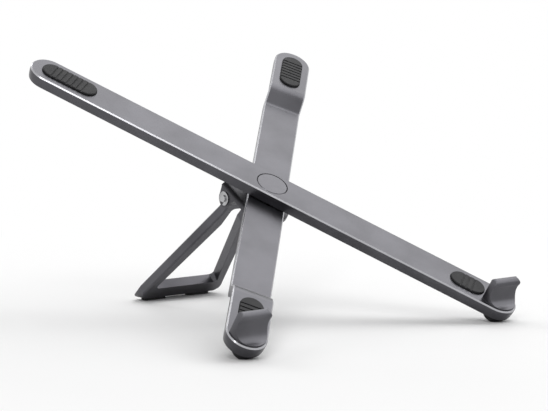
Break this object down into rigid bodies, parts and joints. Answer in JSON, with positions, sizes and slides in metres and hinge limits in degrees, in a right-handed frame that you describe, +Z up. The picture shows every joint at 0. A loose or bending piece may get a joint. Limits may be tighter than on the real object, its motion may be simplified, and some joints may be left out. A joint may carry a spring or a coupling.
{
  "type": "foldable laptop stand",
  "caption": "Folding laptop riser: crossed cast metal arms with front hooks and silicone pads turn on a central pivot, and a framed leg folds out behind to prop them at a steep slope.",
  "frame": {"origin": "on the desk under the middle of the open stand, halfway between its front and rear edges", "axes": "+X to the right, +Y to the rear, +Z up from the desk; the arms slope up to the rear"},
  "size_m": [0.1992, 0.2018, 0.144],
  "materials": {
    "anodised_metal": "dark grey satin anodised casting with a polished chamfer",
    "coated_sheet": "dark grey satin coated sheet",
    "silicone": "matt black silicone",
    "fastener_steel": "turned steel",
    "nylon": "dark nylon"
  },
  "bodies": {
    "hub": {"pivot_screw": "fastener_steel", "upper_bearing_washer": "nylon", "lower_bearing_washer": "nylon", "stop_pin": "fastener_steel", "leg_bracket": "coated_sheet", "flat_washer": "fastener_steel", "spring_washer": "fastener_steel", "pivot_nut": "fastener_steel", "leg_pin": "fastener_steel", "leg_washers": "nylon", "pin_clip": "fastener_steel"},
    "right_arm": {"right_arm": "anodised_metal", "right_hook_lining": "silicone", "right_front_pad": "silicone", "right_rear_pad": "silicone", "right_tip_foot": "silicone", "pivot_cap": "anodised_metal"},
    "left_arm": {"left_arm": "anodised_metal", "left_hook_lining": "silicone", "left_front_pad": "silicone", "left_rear_pad": "silicone", "left_tip_foot": "silicone"},
    "leg": {"leg_frame": "anodised_metal", "right_leg_foot": "silicone", "left_leg_foot": "silicone"}
  },
  "joints": [
    {"name": "right_arm_fold", "type": "hinge", "parent": "hub", "child": "right_arm", "pos_m": [0, -0.0018, 0.07525], "axis": [0, 0.5707, -0.8211], "range_deg": [0, 31.5]},
    {"name": "left_arm_fold", "type": "hinge", "parent": "hub", "child": "left_arm", "pos_m": [0, -0.0018, 0.07525], "axis": [0, -0.5707, 0.8211], "range_deg": [0, 31.5]},
    {"name": "leg_fold", "type": "hinge", "parent": "hub", "child": "leg", "pos_m": [0, 0.02213, 0.06606], "axis": [-1, 0, 0], "range_deg": [0, 102.4]}
  ]
}
